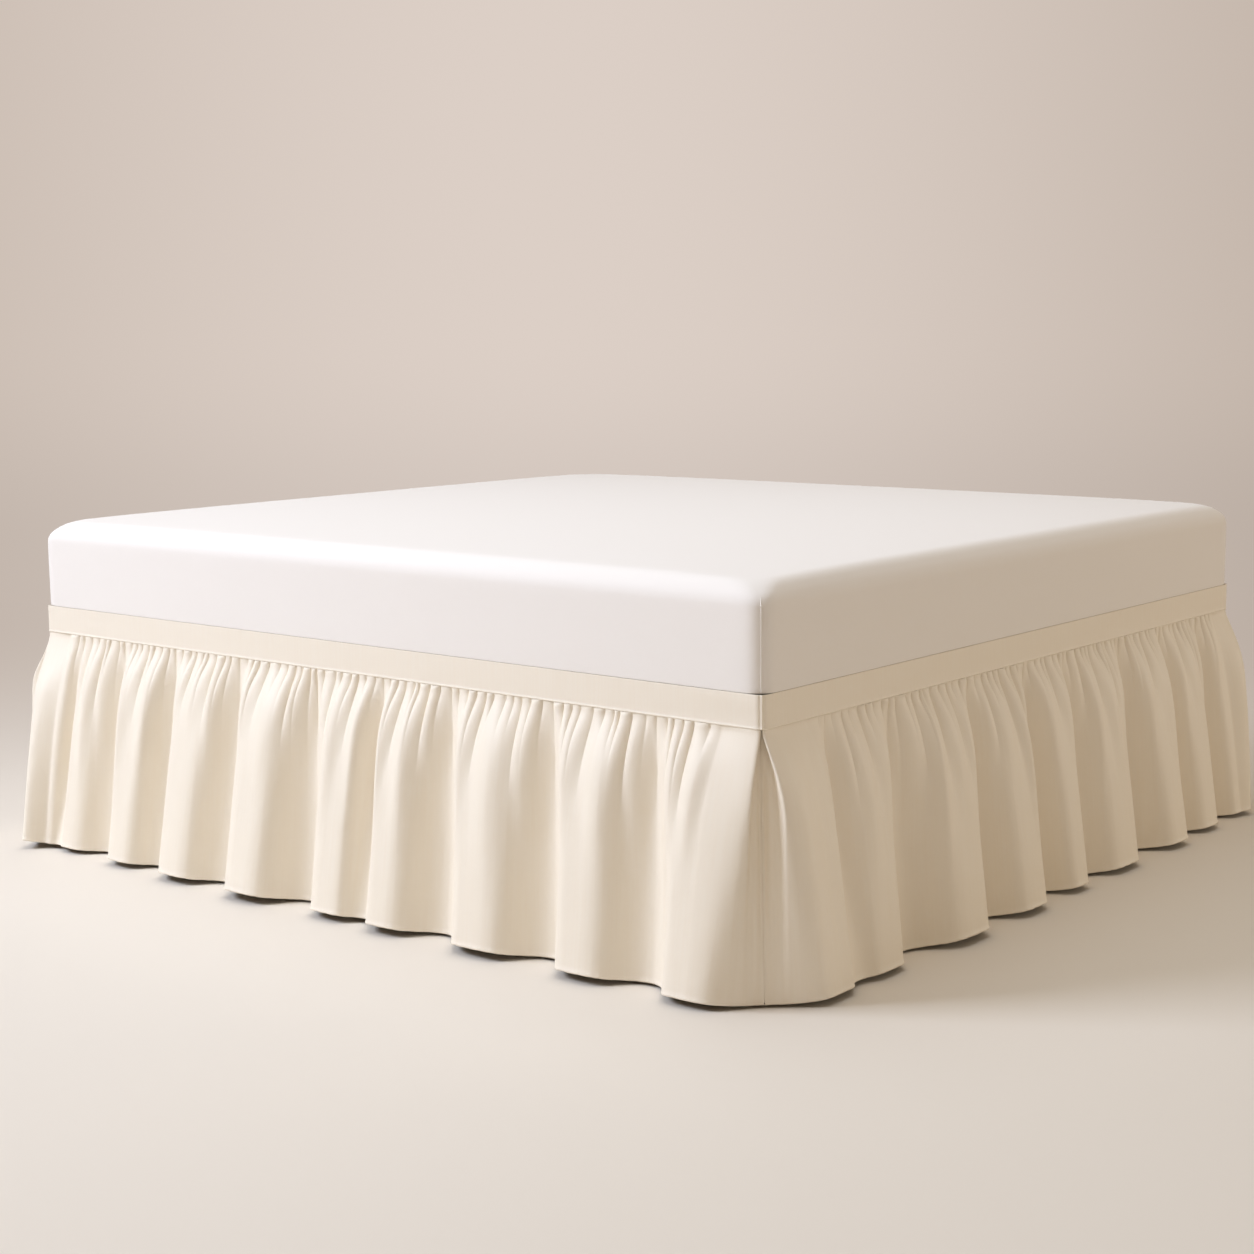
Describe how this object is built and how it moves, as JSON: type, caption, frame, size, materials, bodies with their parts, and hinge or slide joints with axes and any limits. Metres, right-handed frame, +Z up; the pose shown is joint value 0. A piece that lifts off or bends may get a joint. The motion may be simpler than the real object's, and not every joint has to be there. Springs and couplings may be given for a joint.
{
  "type": "gathered bed skirt on a bed with mattress",
  "caption": "Gathered floor-length bed skirt with a flat band and inverted corner pleats, fitted round a king bed base that carries a plain mattress.",
  "frame": {"origin": "on the floor under the middle of the bed", "axes": "+Z up, +Y along the bed towards its head, +X towards the bed's right side seen from its foot"},
  "size_m": [2.1838, 2.255, 0.7473],
  "materials": {
    "skirt_cotton": "plain cotton sateen, cream, soft sheen",
    "mattress_cover": "smooth white knit cover",
    "base_ticking": "plain woven ticking",
    "leg_wood": "oiled beech"
  },
  "bodies": {
    "root": {"mattress": "mattress_cover", "bed_base": "base_ticking", "leg_front_left": "leg_wood", "leg_front_right": "leg_wood", "leg_back_left": "leg_wood", "leg_back_right": "leg_wood", "band_left": "skirt_cotton", "band_foot": "skirt_cotton", "band_right": "skirt_cotton", "band_head": "skirt_cotton", "ruffle_left": "skirt_cotton", "ruffle_foot": "skirt_cotton", "ruffle_right": "skirt_cotton", "ruffle_head": "skirt_cotton"}
  },
  "joints": []
}
